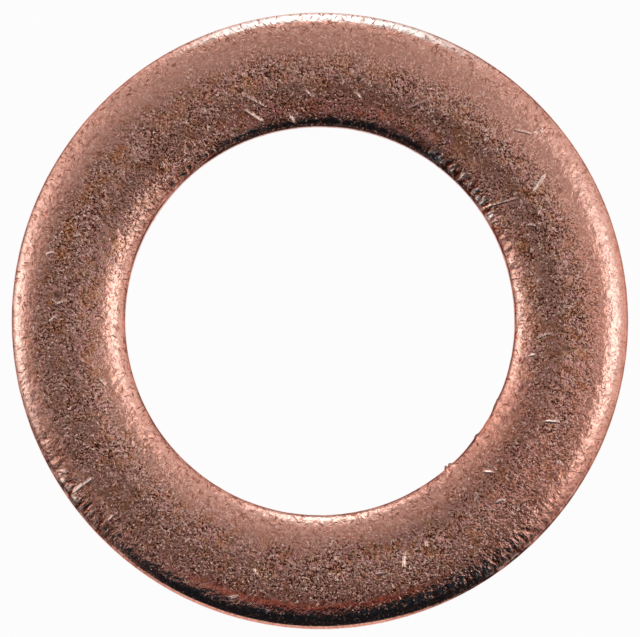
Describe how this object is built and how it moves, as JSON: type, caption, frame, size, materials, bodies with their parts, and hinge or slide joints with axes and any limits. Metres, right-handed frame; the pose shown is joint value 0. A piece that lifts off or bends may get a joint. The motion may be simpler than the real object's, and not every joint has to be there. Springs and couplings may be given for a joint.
{
  "type": "copper sealing washer for a brake hose bolt",
  "caption": "Flat copper ring that is crushed between a brake hose fitting and its hollow bolt to seal them.",
  "frame": {"origin": "centre of the bore in the plane of the underside", "axes": "+Z along the bore, from the sheared underside to the face with the drawn edges"},
  "size_m": [0.016, 0.016, 0.0015],
  "materials": {
    "copper": "soft copper, tumbled and slightly tarnished, with fine pits"
  },
  "bodies": {
    "root": {"washer": "copper"}
  },
  "joints": []
}
